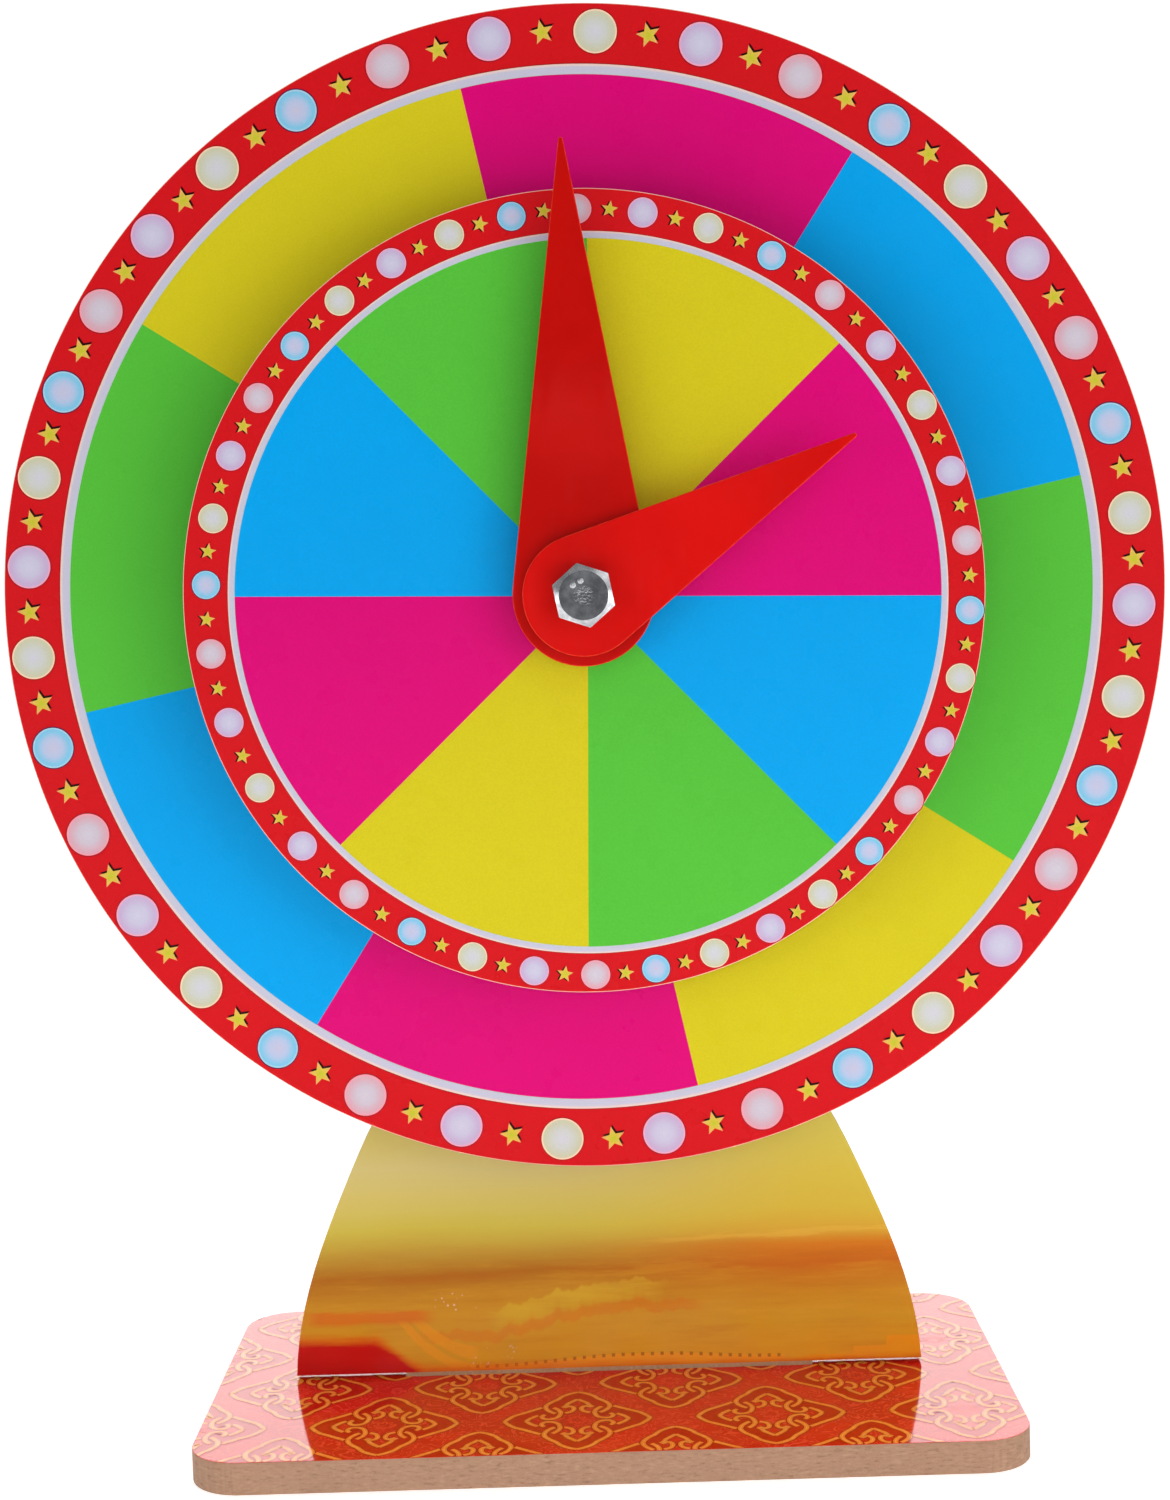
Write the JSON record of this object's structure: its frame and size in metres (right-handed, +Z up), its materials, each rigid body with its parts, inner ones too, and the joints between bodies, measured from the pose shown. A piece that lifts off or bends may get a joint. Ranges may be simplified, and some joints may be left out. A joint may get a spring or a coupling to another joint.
{
  "type": "double disc game spinner",
  "caption": "Tabletop game spinner: two printed discs and two pointers turn on a bolt through a flat panel that plugs into a base board.",
  "frame": {"origin": "middle of the base board's underside", "axes": "+Z up, the player at -Y facing the discs, +X to the right of the pictured front"},
  "size_m": [0.3, 0.12, 0.368],
  "materials": {
    "mdf": "raw MDF, sawn edge",
    "lattice_film": "glossy printed film, red with gold lattice",
    "sunset_film": "glossy printed film, sunset colours",
    "wheel_film": "satin printed film, eight coloured sectors in a red band",
    "pointer_plastic": "glossy red acrylic",
    "zinc_steel": "bright zinc plate",
    "bearing_steel": "polished",
    "cage_brass": "satin",
    "nylon": "matte",
    "housing_plastic": "moulded, matte"
  },
  "bodies": {
    "stand": {"base_board": "mdf", "base_top_film": "lattice_film", "stand_panel": "mdf", "stand_panel_film": "sunset_film", "axle_bolt": "zinc_steel", "clamp_nut": "zinc_steel", "lock_nut": "zinc_steel", "lock_nut_insert": "nylon", "rear_washer": "zinc_steel", "front_washer": "zinc_steel", "bearing_shim": "zinc_steel", "disc_spacer": "zinc_steel", "pointer_standoff": "zinc_steel", "pointer_sleeve": "zinc_steel", "slip_washers": "nylon", "outer_bearing_inner_race": "bearing_steel", "inner_bearing_inner_race": "bearing_steel"},
    "outer_disc": {"outer_disc_board": "mdf", "outer_disc_film": "wheel_film", "outer_disc_flange": "housing_plastic", "outer_disc_screws": "zinc_steel", "outer_bearing_outer_race": "bearing_steel", "outer_bearing_shields": "bearing_steel"},
    "outer_ball_set": {"outer_bearing_balls": "bearing_steel", "outer_bearing_cage": "cage_brass"},
    "inner_disc": {"inner_disc_board": "mdf", "inner_disc_film": "wheel_film", "inner_disc_flange": "housing_plastic", "inner_disc_screws": "zinc_steel", "inner_bearing_outer_race": "bearing_steel", "inner_bearing_shields": "bearing_steel"},
    "inner_ball_set": {"inner_bearing_balls": "bearing_steel", "inner_bearing_cage": "cage_brass"},
    "long_hand": {"long_pointer": "pointer_plastic"},
    "short_hand": {"short_pointer": "pointer_plastic"}
  },
  "joints": [
    {"name": "outer_disc_spin", "type": "hinge", "parent": "stand", "child": "outer_disc", "pos_m": [0, 0, 0.218], "axis": [0, -1, 0], "continuous": true},
    {"name": "inner_disc_spin", "type": "hinge", "parent": "stand", "child": "inner_disc", "pos_m": [0, 0, 0.218], "axis": [0, -1, 0], "continuous": true},
    {"name": "outer_ball_set_spin", "type": "hinge", "parent": "stand", "child": "outer_ball_set", "pos_m": [0, 0, 0.218], "axis": [0, -1, 0], "continuous": true},
    {"name": "inner_ball_set_spin", "type": "hinge", "parent": "stand", "child": "inner_ball_set", "pos_m": [0, 0, 0.218], "axis": [0, -1, 0], "continuous": true},
    {"name": "long_pointer_spin", "type": "hinge", "parent": "stand", "child": "long_hand", "pos_m": [0, 0, 0.218], "axis": [0, -1, 0], "continuous": true},
    {"name": "short_pointer_spin", "type": "hinge", "parent": "stand", "child": "short_hand", "pos_m": [0, 0, 0.218], "axis": [0, -1, 0], "continuous": true}
  ],
  "couplings": [
    {"joint": "outer_ball_set_spin", "follows": "outer_disc_spin", "ratio": 0.633},
    {"joint": "inner_ball_set_spin", "follows": "inner_disc_spin", "ratio": 0.633}
  ]
}
